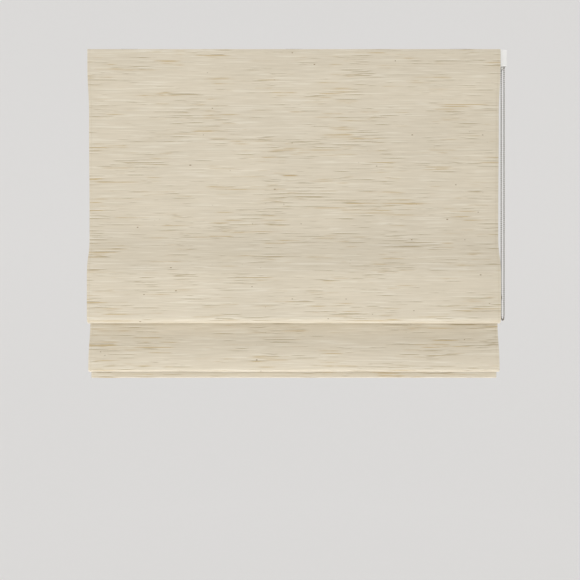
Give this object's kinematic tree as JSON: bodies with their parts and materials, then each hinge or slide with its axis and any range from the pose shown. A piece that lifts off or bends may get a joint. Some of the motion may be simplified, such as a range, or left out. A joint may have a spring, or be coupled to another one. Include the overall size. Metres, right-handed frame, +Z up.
{
  "type": "roman blind",
  "caption": "Partly raised roman blind: slub-weave cloth in soft front folds, lining with rods, lift cords and a chain-driven headrail on ceiling brackets.",
  "frame": {"origin": "centre of the middle bracket's two screw holes, on the ceiling plane", "axes": "+X along the rail to the chain end (right, seen from the room), +Y to the window, +Z up"},
  "size_m": [1.2195, 0.0647, 0.9634],
  "materials": {
    "slub_cloth": "slub weave, matt",
    "lining_cloth": "plain sateen",
    "white_rail": "satin powder coat",
    "white_plastic": "moulded, fine grain",
    "grey_plastic": "moulded",
    "clear_plastic": "moulded, glossy",
    "fibreglass": "pulled rod",
    "bare_aluminium": "extruded",
    "steel": "zinc plated",
    "black_plastic": "moulded",
    "nickel_beads": "nickel plated",
    "lift_cord": "braided",
    "touch_strip": "woven tape"
  },
  "bodies": {
    "blind": {"face_cloth": "slub_cloth", "lining": "lining_cloth", "headrail": "white_rail", "end_cap": "white_plastic", "drive_housing": "white_plastic", "chain_guard": "white_plastic", "rod_caps": "white_plastic", "bar_caps": "white_plastic", "spool_cradle_1": "grey_plastic", "spool_cradle_2": "grey_plastic", "spool_cradle_3": "grey_plastic", "spool_cradle_4": "grey_plastic", "cord_rings": "clear_plastic", "cord_locks": "clear_plastic", "rod_1": "fibreglass", "rod_2": "fibreglass", "rod_3": "fibreglass", "rod_4": "fibreglass", "bottom_bar": "bare_aluminium", "lever_rivets": "steel", "bracket_1": "steel", "bracket_2": "steel", "bracket_3": "steel", "bead_chain": "nickel_beads", "chain_joint": "nickel_beads", "lift_cord_1": "lift_cord", "lift_cord_2": "lift_cord", "lift_cord_3": "lift_cord", "lift_cord_4": "lift_cord", "hook_strip": "touch_strip", "loop_strip": "touch_strip"},
    "drive": {"chain_wheel": "white_plastic", "drive_hub": "grey_plastic", "brake_spring": "steel", "drive_shaft": "steel", "cord_drum_1": "white_plastic", "cord_drum_2": "white_plastic", "cord_drum_3": "white_plastic", "cord_drum_4": "white_plastic", "cord_turns_1": "lift_cord", "cord_turns_2": "lift_cord", "cord_turns_3": "lift_cord", "cord_turns_4": "lift_cord"},
    "lever_1": {"bracket_lever_1": "black_plastic"},
    "lever_2": {"bracket_lever_2": "black_plastic"},
    "lever_3": {"bracket_lever_3": "black_plastic"}
  },
  "joints": [
    {"name": "drive_spin", "type": "hinge", "parent": "blind", "child": "drive", "pos_m": [0, 0, -0.026], "axis": [1, 0, 0], "range_deg": [-2250, 3127.5], "deforming": ["bead_chain", "chain_joint"]},
    {"name": "lever_1_swivel", "type": "hinge", "parent": "blind", "child": "lever_1", "pos_m": [-0.48, 0, -0.004], "axis": [0, 0, 1], "range_deg": [0, 90]},
    {"name": "lever_2_swivel", "type": "hinge", "parent": "blind", "child": "lever_2", "pos_m": [0, 0, -0.004], "axis": [0, 0, 1], "range_deg": [0, 90]},
    {"name": "lever_3_swivel", "type": "hinge", "parent": "blind", "child": "lever_3", "pos_m": [0.48, 0, -0.004], "axis": [0, 0, 1], "range_deg": [0, 90]}
  ]
}
